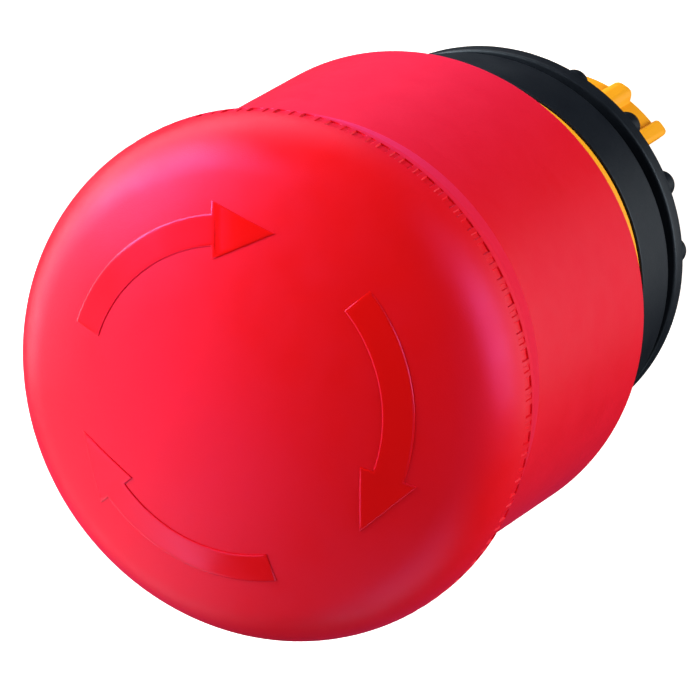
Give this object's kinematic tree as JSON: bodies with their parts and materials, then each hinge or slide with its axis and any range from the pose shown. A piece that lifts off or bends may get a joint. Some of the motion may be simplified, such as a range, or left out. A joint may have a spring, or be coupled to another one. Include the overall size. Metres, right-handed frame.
{
  "type": "emergency stop button",
  "caption": "Panel-mount emergency stop actuator: a domed mushroom head on a long skirt that is pushed to latch and turned clockwise to release, held by a ring nut.",
  "frame": {"origin": "on the axis, in the plane of the panel's front face, where the bezel and its gasket seat; the middle of the 22 mm panel cut-out", "axes": "+Z along the axis, out of the panel to the operator; -Y is the side of the lug pair seen in the picture; the body's key points to +Y"},
  "size_m": [0.038, 0.038, 0.0592],
  "materials": {
    "red_dome": "fine matte moulded red, with glossy arrows",
    "red_sleeve": "satin moulded red",
    "black_plastic": "satin moulded black",
    "yellow_plastic": "satin moulded orange-yellow",
    "white_plastic": "satin moulded off-white",
    "seal_rubber": "matte black rubber",
    "steel": "bright zinc-plated steel",
    "spring_steel": "drawn spring wire"
  },
  "bodies": {
    "housing": {"bezel": "black_plastic", "panel_gasket": "seal_rubber", "body_seal": "seal_rubber", "threaded_body": "black_plastic", "indicator_collar": "yellow_plastic", "latch_ring": "steel", "stem_seal": "seal_rubber", "bayonet_ring": "yellow_plastic", "return_spring": "spring_steel", "head_spring": "spring_steel"},
    "plunger_unit": {"stem": "steel", "plunger": "white_plastic", "stop_disc": "steel", "cap_screw": "steel", "thrust_plate": "white_plastic", "retaining_clip": "spring_steel", "spring_washer": "steel", "torsion_spring": "spring_steel"},
    "head": {"mushroom_cap": "red_dome", "head_skirt": "red_sleeve", "cam_sleeve": "white_plastic"},
    "pawl_left": {"latch_pawl_left": "steel"},
    "pawl_right": {"latch_pawl_right": "steel"},
    "washer": {"thrust_washer": "black_plastic"},
    "nut": {"ring_nut": "black_plastic"}
  },
  "joints": [
    {"name": "press", "type": "slide", "parent": "housing", "child": "plunger_unit", "axis": [0, 0, -1], "range_m": [0, 0.0045], "stiffness_N_per_m": 6000, "springref_m": -0.002, "deforming": ["return_spring", "head_spring"]},
    {"name": "turn_to_release", "type": "hinge", "parent": "plunger_unit", "child": "head", "pos_m": [0, 0, 0.031], "axis": [0, 0, -1], "range_deg": [0, 45], "stiffness_Nm_per_rad": 0.06, "springref_deg": -17.19},
    {"name": "pawl_left_spread", "type": "slide", "parent": "plunger_unit", "child": "pawl_left", "axis": [-1, 0, 0], "range_m": [0, 0.001]},
    {"name": "pawl_right_spread", "type": "slide", "parent": "plunger_unit", "child": "pawl_right", "axis": [1, 0, 0], "range_m": [0, 0.001]},
    {"name": "nut_travel", "type": "slide", "parent": "housing", "child": "washer", "axis": [0, 0, -1], "range_m": [0, 0.0045]},
    {"name": "nut_turn", "type": "hinge", "parent": "washer", "child": "nut", "pos_m": [0, 0, -0.0055], "axis": [0, 0, -1], "range_deg": [0, 1081]}
  ],
  "couplings": [
    {"joint": "pawl_left_spread", "follows": "press", "ratio": 0.2},
    {"joint": "pawl_right_spread", "follows": "press", "ratio": 0.2},
    {"joint": "nut_turn", "follows": "nut_travel", "rad_per_m": 4188.8}
  ]
}
